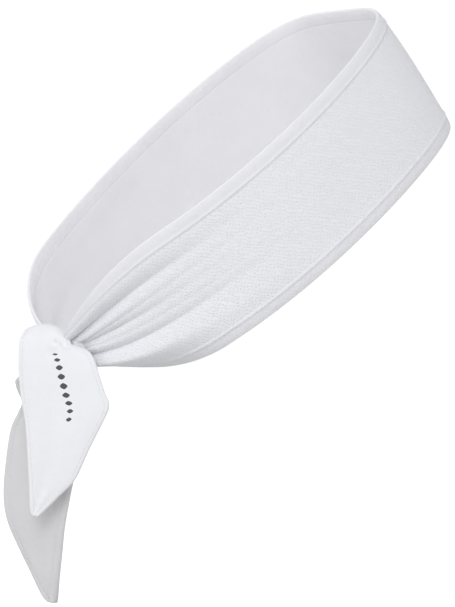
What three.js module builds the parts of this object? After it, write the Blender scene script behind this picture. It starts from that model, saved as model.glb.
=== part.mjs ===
// A tie-on sports headband, as it sits on a head: a two-layer band of knit cloth in a tilted
// oval loop, bound along both edges, gathered into a knot at the nape, with two tails that hang.
// Millimetres, +Z up, +X towards the forehead, origin at the middle of the head opening.
import * as THREE from "three";

// ---- The loop round the head ----
const LOOP_LENGTH = 217; // knot to forehead, at the middle of the cloth
const LOOP_WIDTH = 135; // widest place, over the ears
const LOOP_TILT = THREE.MathUtils.degToRad(40.3); // the forehead sits higher than the nape
const FRONT_SQUARENESS = 0.49; // 1 makes the forehead's end an ellipse, less makes it squarer
const REAR_PINCH = 0.23; // share by which the loop narrows on its way to the knot
const KNOT_SIDE_SHIFT = 16; // the knot is tied this far to the left of the middle of the nape
const SHIFT_SHARPNESS = 6; // how late the loop starts to lean towards the knot

// ---- The band's cloth ----
const BAND_HEIGHT = 65.5; // from edge to edge
const PANEL_THICKNESS = 1.0;
const LINING_THICKNESS = 0.8;
const BINDING_WIDTH = 7;
const BINDING_THICKNESS = 0.6;
const THREAD_WIDTH = 0.5;
const THREAD_HEIGHT = 0.4;
const STITCH_INSET = 0.8; // from the binding's free edge to its stitching
const CLEARANCE = 0.3; // between any two cloths that lie on each other

// ---- The gathered ends and the knot ----
const GATHER_LENGTH = 42; // stretch of each end that narrows into the knot
const GATHERED_HEIGHT = 17; // height of the bunched end where it enters the knot
const BUNCHING = 1.8; // how many times thicker the folded end is than the flat band
const KNOT_RADIUS = 13.5;
const KNOT_HALF_WIDTH = 8;
const KNOT_BORE = 5;
const SEAM_THICKNESS = 1; // the turned seam that joins each end of the band to its tail
const SEAM_RADIUS = 7.5;
const SEAM_BORE = 3.5;

// ---- The tails ----
const TAIL_FACING = THREE.MathUtils.degToRad(-45); // turn of the tails' plane about the vertical
const TAIL_CLOTH = 0.8; // thickness of each of a tail's two layers
const FRONT_TAIL_LENGTH = 88; // from its fold over the knot to its tip
const FRONT_TAIL_WIDTH = 43;
const FRONT_FOLD_HEIGHT = 9.5; // the fold lies this far above the middle of the knot
const REAR_TAIL_LENGTH = 105;
const REAR_TAIL_WIDTH = 37;
const REAR_TAIL_OUT = 4; // how far the rear tail hangs outside the middle of the knot
const TAIL_STITCH_INSET = 3.5;
const MARK_LENGTH = 31;
const MARK_WIDTH = 5;
const MARK_THICKNESS = 0.3;
const MARK_DEPTH = 31; // from the fold to the middle of the printed mark
const MARK_ACROSS = 1.5; // from the middle of the knot
const MARK_LEAN = THREE.MathUtils.degToRad(-8);

// Each row of a tail's outline: share of its length, then its left and right edges as shares
// of its width.
const FRONT_TAIL_OUTLINE = [
  [0, -0.31, 0.02],
  [0.045, -0.41, 0.05],
  [0.1, -0.43, 0.16],
  [0.15, -0.44, 0.32],
  [0.265, -0.425, 0.47],
  [0.395, -0.395, 0.565],
  [0.5, -0.365, 0.5],
  [0.69, -0.335, 0.29],
  [0.88, -0.32, 0.03],
  [1, -0.27, -0.22],
];
const REAR_TAIL_OUTLINE = [
  [0, -0.24, 0.24],
  [0.125, -0.54, 0.27],
  [0.28, -0.74, 0.23],
  [0.53, -0.79, 0.09],
  [0.64, -0.735, 0.03],
  [0.82, -0.51, -0.035],
  [1, -0.16, -0.1],
];

// ---- How finely the shapes are divided ----
const BAND_STEPS = 96;
const END_CROWDING = 0.6; // the steps crowd towards the gathered ends by this share
const TAIL_STEPS = 24;
const ROUND_STEPS = 28;
const BARREL_STEPS = 8;

// ---------------------------------------------------------------- helpers

/** 0 at x = 0, 1 at x = 1 and beyond, with level ends. */
const ease = (x) => THREE.MathUtils.smoothstep(x, 0, 1);

/** Turns every triangle round if the closed surface faces inwards. */
function faceOutwards(geometry) {
  const corner = geometry.getAttribute("position");
  const index = geometry.index.array;
  const [a, b, c] = [new THREE.Vector3(), new THREE.Vector3(), new THREE.Vector3()];
  let volume = 0;
  for (let i = 0; i < index.length; i += 3) {
    a.fromBufferAttribute(corner, index[i]);
    b.fromBufferAttribute(corner, index[i + 1]);
    c.fromBufferAttribute(corner, index[i + 2]);
    volume += a.dot(b.cross(c));
  }
  if (volume < 0) index.reverse();
  return geometry;
}

/** Joins flat sections, one after another, into a closed solid with a face at each end.
 *  place(i, point) puts a section's point in space. */
function loft(sections, place) {
  const size = sections[0].length;
  const last = (sections.length - 1) * size;
  const corners = sections.flatMap((section, i) => section.map((point) => place(i, point)));
  const index = [];
  for (let i = 0; i < sections.length - 1; i++) {
    for (let j = 0; j < size; j++) {
      const a = i * size + j;
      const b = i * size + ((j + 1) % size);
      index.push(a, b, b + size, a, b + size, a + size);
    }
  }
  for (const [a, b, c] of THREE.ShapeUtils.triangulateShape(sections[0], [])) {
    index.push(c, b, a);
  }
  for (const [a, b, c] of THREE.ShapeUtils.triangulateShape(sections.at(-1), [])) {
    index.push(last + a, last + b, last + c);
  }
  const geometry = new THREE.BufferGeometry().setFromPoints(corners);
  geometry.setIndex(index);
  return faceOutwards(geometry);
}

/** A rectangle between two corners, counter-clockwise. */
function rectangle(left, low, right, high) {
  return [
    new THREE.Vector2(left, low),
    new THREE.Vector2(right, low),
    new THREE.Vector2(right, high),
    new THREE.Vector2(left, high),
  ];
}

/** A thread laid along a path. Each stop of the path is a point and the cloth's normal there. */
function threadAlong(stops) {
  const section = rectangle(-THREAD_WIDTH / 2, 0, THREAD_WIDTH / 2, THREAD_HEIGHT);
  return loft(
    stops.map(() => section),
    (i, point) => {
      const before = stops[Math.max(i - 1, 0)].point;
      const after = stops[Math.min(i + 1, stops.length - 1)].point;
      const side = after.clone().sub(before).cross(stops[i].normal).normalize();
      return stops[i].point
        .clone()
        .addScaledVector(side, point.x)
        .addScaledVector(stops[i].normal, point.y);
    },
  );
}

/** A named solid in its own cloth. */
function solid(name, geometry, finish) {
  const mesh = new THREE.Mesh(geometry, new THREE.MeshStandardMaterial(finish));
  mesh.name = name;
  return mesh;
}

const FINISHES = {
  mesh: { color: 0xe6e7ec, roughness: 0.85, metalness: 0 },
  jersey: { color: 0xe4e3e8, roughness: 0.8, metalness: 0 },
  binding: { color: 0xe8e9ee, roughness: 0.8, metalness: 0 },
  thread: { color: 0xf0f0f2, roughness: 0.6, metalness: 0 },
  print: { color: 0x55565a, roughness: 0.5, metalness: 0 },
};

// ---------------------------------------------------------------- the loop's curve

/** How far back a place on the loop is: 0 at the forehead, 1 at the knot. */
const towardsRear = (phi) => (1 - Math.cos(phi)) / 2;

/** How far out the loop's side is, as a share, at angle phi from the forehead. */
function sideShape(phi) {
  const power = THREE.MathUtils.lerp(FRONT_SQUARENESS, 1, towardsRear(phi));
  const round = Math.sign(phi) * Math.abs(Math.sin(phi)) ** power;
  return round * (1 - REAR_PINCH * towardsRear(phi) ** 2);
}

const WIDEST_SIDE = Math.max(
  ...Array.from({ length: 181 }, (_, degree) => sideShape(THREE.MathUtils.degToRad(degree))),
);

/** The middle of the band's cloth, in the loop's own plane, from the knot by the right side,
 *  the forehead and the left side back to the knot. */
class HeadLoop extends THREE.Curve {
  getPoint(t, target = new THREE.Vector3()) {
    const turn = 2 * t - 1;
    const phi = Math.PI * turn * Math.abs(turn);
    const side = (LOOP_WIDTH / 2) * (sideShape(phi) / WIDEST_SIDE);
    const lean = KNOT_SIDE_SHIFT * towardsRear(phi) ** SHIFT_SHARPNESS;
    return target.set((LOOP_LENGTH / 2) * Math.cos(phi), side + lean, 0);
  }
}

const LOOP = new HeadLoop();
LOOP.arcLengthDivisions = 2000;
const LOOP_GIRTH = LOOP.getLength();
const KNOT = LOOP.getPoint(0);

/** The length of cloth from the knot's middle to where the loop is this far to the knot's side,
 *  going by the right side (sign -1) or the left (sign 1). */
function clothToSide(distance, sign) {
  let [near, far] = [0, LOOP_GIRTH / 4];
  for (let i = 0; i < 40; i++) {
    const middle = (near + far) / 2;
    const share = sign < 0 ? middle / LOOP_GIRTH : 1 - middle / LOOP_GIRTH;
    if (Math.abs(LOOP.getPointAt(share).y - KNOT.y) < distance) near = middle;
    else far = middle;
  }
  return near;
}

const END_DISTANCE = KNOT_HALF_WIDTH + SEAM_THICKNESS + 2 * CLEARANCE;
const RIGHT_END = clothToSide(END_DISTANCE, -1);
const LEFT_END = LOOP_GIRTH - clothToSide(END_DISTANCE, 1);

/** The places along the band at which its cloths are drawn, closer together near the ends. */
const STATIONS = Array.from({ length: BAND_STEPS + 1 }, (_, i) => {
  const even = i / BAND_STEPS;
  const share = even - (END_CROWDING * Math.sin(2 * Math.PI * even)) / (2 * Math.PI);
  const cloth = RIGHT_END + (LEFT_END - RIGHT_END) * share;
  const fromEnd = Math.min(cloth - RIGHT_END, LEFT_END - cloth);
  const opened = ease(fromEnd / GATHER_LENGTH);
  const point = LOOP.getPointAt(cloth / LOOP_GIRTH);
  const run = LOOP.getTangentAt(cloth / LOOP_GIRTH);
  const squareToLoop = new THREE.Vector3(run.y, -run.x, 0);
  const squareToKnot = new THREE.Vector3(-1, 0, 0);
  return {
    point,
    outward: squareToKnot.lerp(squareToLoop, ease(fromEnd / (GATHER_LENGTH / 2))).normalize(),
    half: THREE.MathUtils.lerp(GATHERED_HEIGHT, BAND_HEIGHT, opened) / 2,
    bunch: THREE.MathUtils.lerp(BUNCHING, 1, opened),
  };
});

// ---------------------------------------------------------------- the band

const PANEL_FACE = CLEARANCE / 2 + PANEL_THICKNESS; // outward from the middle of the cloth
const LINING_FACE = CLEARANCE / 2 + LINING_THICKNESS; // inward from it
const BINDING_FACE = PANEL_FACE + CLEARANCE + BINDING_THICKNESS;

/** Sweeps a section round the whole band. sectionAt(half) gives it in millimetres outwards and
 *  up, for the band's half height there. */
function aroundBand(sectionAt) {
  return loft(
    STATIONS.map((station) => sectionAt(station.half)),
    (i, point) => {
      const { point: middle, outward, bunch } = STATIONS[i];
      const place = middle.clone().addScaledVector(outward, point.x * bunch);
      place.z += point.y;
      return place;
    },
  );
}

/** One flat cloth of the band, between two distances outwards, inside the bindings. */
function bandCloth(inner, outer) {
  const edge = BINDING_THICKNESS + CLEARANCE;
  return aroundBand((half) => rectangle(inner, edge - half, outer, half - edge));
}

/** A strip of cloth folded over one edge of the band: the upper edge (1) or the lower (-1). */
function edgeBinding(side) {
  const outside = BINDING_FACE;
  const inside = -LINING_FACE - CLEARANCE - BINDING_THICKNESS;
  return aroundBand((half) => {
    const free = half - BINDING_WIDTH;
    const fold = half - BINDING_THICKNESS;
    const outline = [
      [outside, free],
      [outside, half],
      [inside, half],
      [inside, free],
      [inside + BINDING_THICKNESS, free],
      [inside + BINDING_THICKNESS, fold],
      [outside - BINDING_THICKNESS, fold],
      [outside - BINDING_THICKNESS, free],
    ].map(([out, up]) => new THREE.Vector2(out, up * side));
    return side > 0 ? outline : outline.reverse();
  });
}

/** The seam's thread, on the outside of a binding near its free edge. */
function edgeStitching(side) {
  const face = BINDING_FACE + CLEARANCE;
  return aroundBand((half) => {
    const inner = side * (half - BINDING_WIDTH + STITCH_INSET);
    const outer = inner + side * THREAD_WIDTH;
    return rectangle(face, Math.min(inner, outer), face + THREAD_HEIGHT, Math.max(inner, outer));
  });
}

function buildBand() {
  const band = new THREE.Group();
  band.add(
    solid("band_outer_panel", bandCloth(CLEARANCE / 2, PANEL_FACE), FINISHES.mesh),
    solid("band_lining", bandCloth(-LINING_FACE, -CLEARANCE / 2), FINISHES.jersey),
    solid("upper_edge_binding", edgeBinding(1), FINISHES.binding),
    solid("lower_edge_binding", edgeBinding(-1), FINISHES.binding),
    solid("upper_edge_stitching", edgeStitching(1), FINISHES.thread),
    solid("lower_edge_stitching", edgeStitching(-1), FINISHES.thread),
  );
  return band;
}

// ---------------------------------------------------------------- the knot

/** A solid of revolution about the band's run through the knot, from points of radius and
 *  distance along it. */
function roundTheRun(profile) {
  return new THREE.LatheGeometry([...profile, profile[0]], ROUND_STEPS);
}

/** The outer turn of cloth: a barrel on a sphere, with the other tail's cloth through it. */
function knotWrap() {
  const barrel = Array.from({ length: BARREL_STEPS + 1 }, (_, i) => {
    const along = KNOT_HALF_WIDTH * ((2 * i) / BARREL_STEPS - 1);
    return new THREE.Vector2(Math.sqrt(KNOT_RADIUS ** 2 - along ** 2), along);
  });
  return roundTheRun([
    new THREE.Vector2(KNOT_BORE, -KNOT_HALF_WIDTH),
    ...barrel,
    new THREE.Vector2(KNOT_BORE, KNOT_HALF_WIDTH),
  ]);
}

/** The bunch of cloth that the outer turn grips. */
function knotCore() {
  const radius = KNOT_BORE - CLEARANCE;
  const end = KNOT_HALF_WIDTH - CLEARANCE;
  const waist = radius * 0.85;
  return new THREE.LatheGeometry(
    [
      new THREE.Vector2(0, -end),
      new THREE.Vector2(waist, -end),
      new THREE.Vector2(radius, -end / 2),
      new THREE.Vector2(radius, end / 2),
      new THREE.Vector2(waist, end),
      new THREE.Vector2(0, end),
    ],
    ROUND_STEPS,
  );
}

/** The turned seam between an end of the band and the knot, on its right (-1) or left (1). */
function joinSeam(side) {
  const near = side * (KNOT_HALF_WIDTH + CLEARANCE);
  const far = near + side * SEAM_THICKNESS;
  const [low, high] = [Math.min(near, far), Math.max(near, far)];
  return roundTheRun([
    new THREE.Vector2(SEAM_BORE, low),
    new THREE.Vector2(SEAM_RADIUS, low),
    new THREE.Vector2(SEAM_RADIUS, high),
    new THREE.Vector2(SEAM_BORE, high),
  ]);
}

function buildKnot() {
  const knot = new THREE.Group();
  knot.position.copy(KNOT);
  knot.add(
    solid("knot_wrap", knotWrap(), FINISHES.binding),
    solid("knot_core", knotCore(), FINISHES.binding),
    solid("right_join_seam", joinSeam(-1), FINISHES.thread),
    solid("left_join_seam", joinSeam(1), FINISHES.thread),
  );
  return knot;
}

// ---------------------------------------------------------------- the tails
// In a tail's own frame, x runs across it to the right, y points in towards the head, and z is
// up, from the middle of the knot.

const HALF_TAIL = TAIL_CLOTH + CLEARANCE / 2;
const BUNCHED_FACE = (BINDING_FACE + CLEARANCE + THREAD_HEIGHT) * BUNCHING;
const END_REACH = Math.hypot(END_DISTANCE, GATHERED_HEIGHT / 2, BUNCHED_FACE);
const FOLD_RADIUS = Math.max(KNOT_RADIUS, END_REACH) + CLEARANCE + HALF_TAIL;
const FOLD_ANGLE = Math.asin(FRONT_FOLD_HEIGHT / FOLD_RADIUS);

/** Where the front tail's middle lies at a depth along its cloth: round the knot, then down. */
function frontDrape(depth) {
  const angle = FOLD_ANGLE - depth / FOLD_RADIUS;
  if (angle > 0) {
    const out = new THREE.Vector3(0, -Math.cos(angle), Math.sin(angle));
    return { point: out.clone().multiplyScalar(FOLD_RADIUS), normal: out };
  }
  const drop = -angle * FOLD_RADIUS;
  return { point: new THREE.Vector3(0, -FOLD_RADIUS, -drop), normal: new THREE.Vector3(0, -1, 0) };
}

/** Where the rear tail's middle lies: straight down from just under the knot. */
function rearDrape(depth) {
  const behind = REAR_TAIL_OUT - HALF_TAIL;
  const top = Math.sqrt(KNOT_RADIUS ** 2 - behind ** 2) + CLEARANCE;
  return {
    point: new THREE.Vector3(0, -REAR_TAIL_OUT, -top - depth),
    normal: new THREE.Vector3(0, -1, 0),
  };
}

const TAILS = {
  front: {
    drape: frontDrape,
    length: FRONT_TAIL_LENGTH,
    width: FRONT_TAIL_WIDTH,
    outline: FRONT_TAIL_OUTLINE,
  },
  rear: {
    drape: rearDrape,
    length: REAR_TAIL_LENGTH,
    width: REAR_TAIL_WIDTH,
    outline: REAR_TAIL_OUTLINE,
  },
};

/** The rows of a tail, from its top to its tip: depth, left and right edge. */
function tailRows({ length, width, outline }) {
  const curve = new THREE.CatmullRomCurve3(
    outline.map(([share, left, right]) => new THREE.Vector3(share, left, right)),
    false,
    "centripetal",
  );
  return curve.getPoints(TAIL_STEPS).map(({ x, y, z }) => ({
    depth: x * length,
    left: y * width,
    right: z * width,
  }));
}

/** One of a tail's two layers, between two distances outwards from its middle. */
function tailCloth(tail, inner, outer) {
  const rows = tailRows(tail);
  return loft(
    rows.map(({ left, right }) => rectangle(left, inner, right, outer)),
    (i, point) => {
      const { point: middle, normal } = tail.drape(rows[i].depth);
      middle.x += point.x;
      return middle.addScaledVector(normal, point.y);
    },
  );
}

/** The seam thread down one side of a tail's face, round its tip and up the other side. */
function tailStitching(tail) {
  const rows = tailRows(tail).filter(
    ({ left, right }) => right - left > 2 * TAIL_STITCH_INSET + 4 * THREAD_WIDTH,
  );
  const stop = (depth, across) => {
    const { point, normal } = tail.drape(depth);
    point.x = across;
    point.addScaledVector(normal, HALF_TAIL + CLEARANCE);
    return { point, normal };
  };
  return threadAlong([
    ...rows.map(({ depth, left }) => stop(depth, left + TAIL_STITCH_INSET)),
    ...rows.reverse().map(({ depth, right }) => stop(depth, right - TAIL_STITCH_INSET)),
  ]);
}

/** A plain printed bar on the front tail's face. */
function printedMark() {
  const plate = new THREE.BoxGeometry(MARK_WIDTH, MARK_THICKNESS, MARK_LENGTH);
  plate.rotateY(MARK_LEAN);
  const { point, normal } = frontDrape(MARK_DEPTH);
  point.x = MARK_ACROSS;
  point.addScaledVector(normal, HALF_TAIL + CLEARANCE + MARK_THICKNESS / 2);
  return plate.translate(point.x, point.y, point.z);
}

function buildTail(name, tail) {
  return [
    solid(`${name}_face`, tailCloth(tail, CLEARANCE / 2, HALF_TAIL), FINISHES.jersey),
    solid(`${name}_back`, tailCloth(tail, -HALF_TAIL, -CLEARANCE / 2), FINISHES.jersey),
    solid(`${name}_stitching`, tailStitching(tail), FINISHES.thread),
  ];
}

function buildTails() {
  const tails = new THREE.Group();
  tails.rotation.z = TAIL_FACING;
  tails.add(
    ...buildTail("front_tail", TAILS.front),
    ...buildTail("rear_tail", TAILS.rear),
    solid("front_tail_mark", printedMark(), FINISHES.print),
  );
  return tails;
}

// ---------------------------------------------------------------- the whole headband

const headband = new THREE.Group();

const loop = new THREE.Group();
loop.rotation.y = -LOOP_TILT;
loop.add(buildBand(), buildKnot());

const tails = buildTails();
tails.position.copy(KNOT).applyEuler(loop.rotation);

headband.add(loop, tails);

export default headband;
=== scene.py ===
"""A tie-on sports headband in white knit cloth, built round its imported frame.

The band is a tilted oval loop of two cloths with a folded strip sewn over each edge. Both of its ends
are gathered into a knot at the nape, and two tails hang from the knot. Everything is in metres, with
+Z up, +X towards the forehead and the origin in the middle of the head opening.
"""

import logging
import math
from dataclasses import dataclass, field
from enum import Enum

import bmesh
import bpy
import numpy as np
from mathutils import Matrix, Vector


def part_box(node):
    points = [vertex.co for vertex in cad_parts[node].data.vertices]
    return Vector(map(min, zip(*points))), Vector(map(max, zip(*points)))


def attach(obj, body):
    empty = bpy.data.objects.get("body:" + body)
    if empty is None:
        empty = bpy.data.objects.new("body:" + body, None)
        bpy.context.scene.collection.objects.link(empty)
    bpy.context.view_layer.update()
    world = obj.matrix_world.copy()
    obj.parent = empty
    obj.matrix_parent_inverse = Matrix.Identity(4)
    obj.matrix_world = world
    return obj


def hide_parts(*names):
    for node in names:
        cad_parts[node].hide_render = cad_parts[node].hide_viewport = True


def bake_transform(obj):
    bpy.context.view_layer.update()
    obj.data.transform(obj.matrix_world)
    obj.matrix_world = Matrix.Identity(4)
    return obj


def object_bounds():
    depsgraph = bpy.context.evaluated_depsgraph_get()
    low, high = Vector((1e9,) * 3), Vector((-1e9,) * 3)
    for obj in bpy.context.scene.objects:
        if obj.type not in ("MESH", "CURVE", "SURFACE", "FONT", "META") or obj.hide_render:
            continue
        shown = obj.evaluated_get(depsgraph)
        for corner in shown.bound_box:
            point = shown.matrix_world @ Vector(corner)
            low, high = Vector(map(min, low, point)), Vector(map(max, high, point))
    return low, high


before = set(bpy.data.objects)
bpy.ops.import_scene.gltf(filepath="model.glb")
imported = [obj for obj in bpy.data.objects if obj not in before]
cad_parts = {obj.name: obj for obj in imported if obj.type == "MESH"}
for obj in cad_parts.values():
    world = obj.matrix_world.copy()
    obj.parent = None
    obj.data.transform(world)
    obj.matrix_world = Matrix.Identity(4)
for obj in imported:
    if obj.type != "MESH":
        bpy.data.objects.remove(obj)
CAD_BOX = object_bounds()

LOG = logging.getLogger("headband")
MM = 0.001
UV_NAME = "flat_cloth"

Array = np.ndarray


class Body(Enum):
    """The bodies of the frame that pieces ride on."""

    BAND = "band"
    FRONT_TAIL = "front_tail"
    REAR_TAIL = "rear_tail"


class Side(Enum):
    """The two long edges of the band, by the sign of their place across it."""

    UPPER = 1
    LOWER = -1


# ---------------------------------------------------------------------------------------- numbers


def ease(x: Array) -> Array:
    """0 up to x = 0, 1 from x = 1, and 3x^2 - 2x^3 between them."""
    x = np.clip(x, 0, 1)
    return x * x * (3 - 2 * x)


def hump(x: Array) -> Array:
    """A bell, e to the power -x^2."""
    return np.exp(-(x**2))


def unit(vectors: Array) -> Array:
    """The vectors along the last axis, each made one long."""
    return vectors / np.maximum(np.linalg.norm(vectors, axis=-1, keepdims=True), 1e-12)


def smooth_rows(rows: Array, count: int) -> Array:
    """Carries a smooth curve through rows of numbers.

    Each stretch is a Catmull-Rom cubic: half of (2b + (c - a)t + (2a - 5b + 4c - d)t^2
    + (3b - a - 3c + d)t^3) for the four rows a, b, c and d round it.

    Args:
        rows: the rows to pass through, one after another.
        count: how many rows to return, evenly shared over the stretches.

    Returns:
        count rows of the same width.
    """
    rows = np.asarray(rows, float)
    ends = np.concatenate([[2 * rows[0] - rows[1]], rows, [2 * rows[-1] - rows[-2]]])
    place = np.linspace(0, len(rows) - 1, count)
    first = np.minimum(place.astype(int), len(rows) - 2)
    t = (place - first)[:, None]
    a, b, c, d = (ends[first + k] for k in range(4))
    cubic = (2 * a - 5 * b + 4 * c - d) * t**2 + (3 * b - a - 3 * c + d) * t**3
    return 0.5 * (2 * b + (c - a) * t + cubic)


# ----------------------------------------------------------------------------------------- meshes


def grid_quads(rows: int, columns: int, round_it: bool = False, to_first: bool = False) -> Array:
    """The four-cornered faces of a grid of vertices.

    Args:
        rows: how many rows of vertices there are.
        columns: how many vertices a row has.
        round_it: whether each row closes on itself.
        to_first: whether the last row is joined to the first one.

    Returns:
        One row of four vertex numbers for each face.
    """
    index = np.arange(rows * columns).reshape(rows, columns)
    if round_it:
        index = np.concatenate([index, index[:, :1]], axis=1)
    if to_first:
        index = np.concatenate([index, index[:1]])
    corners = [index[:-1, :-1], index[:-1, 1:], index[1:, 1:], index[1:, :-1]]
    return np.stack(corners, -1).reshape(-1, 4)


def signed_volume(points: Array, quads: Array) -> float:
    """Six times the volume that closed faces hold, negative where they face inwards."""
    a, b, c, d = (points[quads[:, k]] for k in range(4))
    return float((a * np.cross(b, c)).sum() + (a * np.cross(c, d)).sum())


def linked(name: str, data: bpy.types.ID) -> bpy.types.Object:
    """A new object with this data, linked to the scene at the origin."""
    made = bpy.data.objects.new(name, data)
    bpy.context.scene.collection.objects.link(made)
    return made


def make_piece(name: str, points: Array, quads: Array, flat: Array) -> bpy.types.Object:
    """Makes a closed mesh and links it, with its faces pointing outwards.

    Args:
        name: the piece's name.
        points: its vertices, three numbers each.
        quads: its faces, four vertex numbers each.
        flat: each vertex's place on the flat cloth, in metres, as the UV map.

    Returns:
        The new object, at the origin.
    """
    if signed_volume(points, quads) < 0:
        quads = quads[:, ::-1]
    mesh = bpy.data.meshes.new(name)
    mesh.from_pydata(points.tolist(), [], quads.tolist())
    mesh.shade_smooth()
    corners = np.zeros(len(mesh.loops), np.int32)
    mesh.loops.foreach_get("vertex_index", corners)
    layer = mesh.uv_layers.new(name=UV_NAME)
    layer.data.foreach_set("uv", flat[corners].astype(np.float32).ravel())
    return linked(name, mesh)


def two_sided(name: str, front: Array, back: Array, flat: Array) -> bpy.types.Object:
    """Makes a thin closed cloth from its two faces and the strip round its edge.

    Args:
        name: the piece's name.
        front: the grid of points of one face, rows by columns by three.
        back: the same grid on the other face.
        flat: the grid's places on the flat cloth, rows by columns by two.

    Returns:
        The new object.
    """
    rows, columns = front.shape[:2]
    face = grid_quads(rows, columns)
    index = np.arange(rows * columns).reshape(rows, columns)
    border = np.concatenate([index[0, :-1], index[:-1, -1], index[-1, :0:-1], index[:0:-1, 0]])
    following = np.roll(border, -1)
    behind = rows * columns
    rim = np.stack([following, border, border + behind, following + behind], -1)
    quads = np.concatenate([face, face[:, ::-1] + behind, rim])
    points = np.concatenate([front.reshape(-1, 3), back.reshape(-1, 3)])
    return make_piece(name, points, quads, np.tile(flat.reshape(-1, 2), (2, 1)))


def swept(name: str, sections: Array, flat: Array) -> bpy.types.Object:
    """Makes a closed solid from closed sections, one after another, drawn to a point at each end.

    Args:
        name: the piece's name.
        sections: the points, stations by points of the section by three.
        flat: their places on the flat cloth, stations by points by two.

    Returns:
        The new object.
    """
    middle = sections.mean(axis=1, keepdims=True)
    capped = np.concatenate([middle[:1] + 0 * sections[:1], sections, middle[-1:] + 0 * sections[:1]])
    laid = np.concatenate([flat[:1], flat, flat[-1:]])
    rows, columns = capped.shape[:2]
    quads = grid_quads(rows, columns, round_it=True)
    piece = make_piece(name, capped.reshape(-1, 3), quads, laid.reshape(-1, 2))
    merge_doubles(piece)
    return piece


def ring(name: str, points: Array, flat: Array) -> bpy.types.Object:
    """Makes a ring from a grid of points that closes on itself both ways, with its flat places."""
    quads = grid_quads(*points.shape[:2], round_it=True, to_first=True)
    return make_piece(name, points.reshape(-1, 3), quads, flat.reshape(-1, 2))


def merge_doubles(piece: bpy.types.Object) -> None:
    """Joins vertices that lie in one place, which closes a pole, and drops faces with no area."""
    work = bmesh.new()
    work.from_mesh(piece.data)
    bmesh.ops.remove_doubles(work, verts=work.verts, dist=1e-7)
    bmesh.ops.dissolve_degenerate(work, edges=work.edges, dist=1e-8)
    work.to_mesh(piece.data)
    work.free()
    piece.data.shade_smooth()


@dataclass(frozen=True)
class Stitch:
    """The size of one stitch and how finely it is drawn.

    Its thread has six sides, so that two four-cornered faces close each end.
    """

    pitch: float
    length: float
    radius: float
    arch: float
    rings: int = 6
    sides: int = 6

    def row(self, name: str, path: Array, normals: Array) -> bpy.types.Object:
        """Makes a row of separate stitches along a path.

        Each stitch is a thread of round section whose middle stands proud and whose ends go down into
        the cloth: its height is arch (1 - x^2) and its radius is radius sqrt(1 - x^4), for x from
        -1 to 1 along it.

        Args:
            name: the piece's name.
            path: the points of the path on the cloth.
            normals: the cloth's normal at each of them.

        Returns:
            The new object.
        """
        steps = np.linalg.norm(np.diff(path, axis=0), axis=1)
        along = np.concatenate([[0], np.cumsum(steps)])
        count = max(int(along[-1] / self.pitch), 1)
        x = np.cos(np.linspace(math.pi, 0, self.rings))
        angle = np.linspace(0, 2 * math.pi, self.sides, endpoint=False)
        centre = (np.arange(count) + 0.5) * self.pitch
        place = centre[:, None] + x * self.length / 2
        line, up = (
            np.stack([np.interp(place, along, source[:, k]) for k in range(3)], -1)
            for source in (path, normals)
        )
        up = unit(up)
        run = unit(np.gradient(line, axis=1))
        aside = unit(np.cross(run, up))
        line = line + up * (self.arch * (1 - x**2))[:, None]
        radius = self.radius * np.sqrt(np.maximum(1 - x**4, 0.02))[:, None, None]
        round_it = (
            aside[:, :, None] * np.cos(angle)[:, None] + up[:, :, None] * np.sin(angle)[:, None]
        )
        points = line[:, :, None] + radius * round_it
        quads = grid_quads(self.rings, self.sides, round_it=True)
        ends = np.array([np.arange(self.sides)[::-1], np.arange(self.sides)])
        ends[1] += (self.rings - 1) * self.sides
        caps = np.stack([ends[:, [0, 1, 2, 3]], ends[:, [0, 3, 4, 5]]], 1).reshape(-1, 4)
        one = np.concatenate([quads, caps])
        every = (one + np.arange(count)[:, None, None] * self.rings * self.sides).reshape(-1, 4)
        flat = np.stack(np.broadcast_arrays(place[:, :, None], angle * self.radius), -1)
        return make_piece(name, points.reshape(-1, 3), every, flat.reshape(-1, 2))


# --------------------------------------------------------------------------------------- the loop


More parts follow.
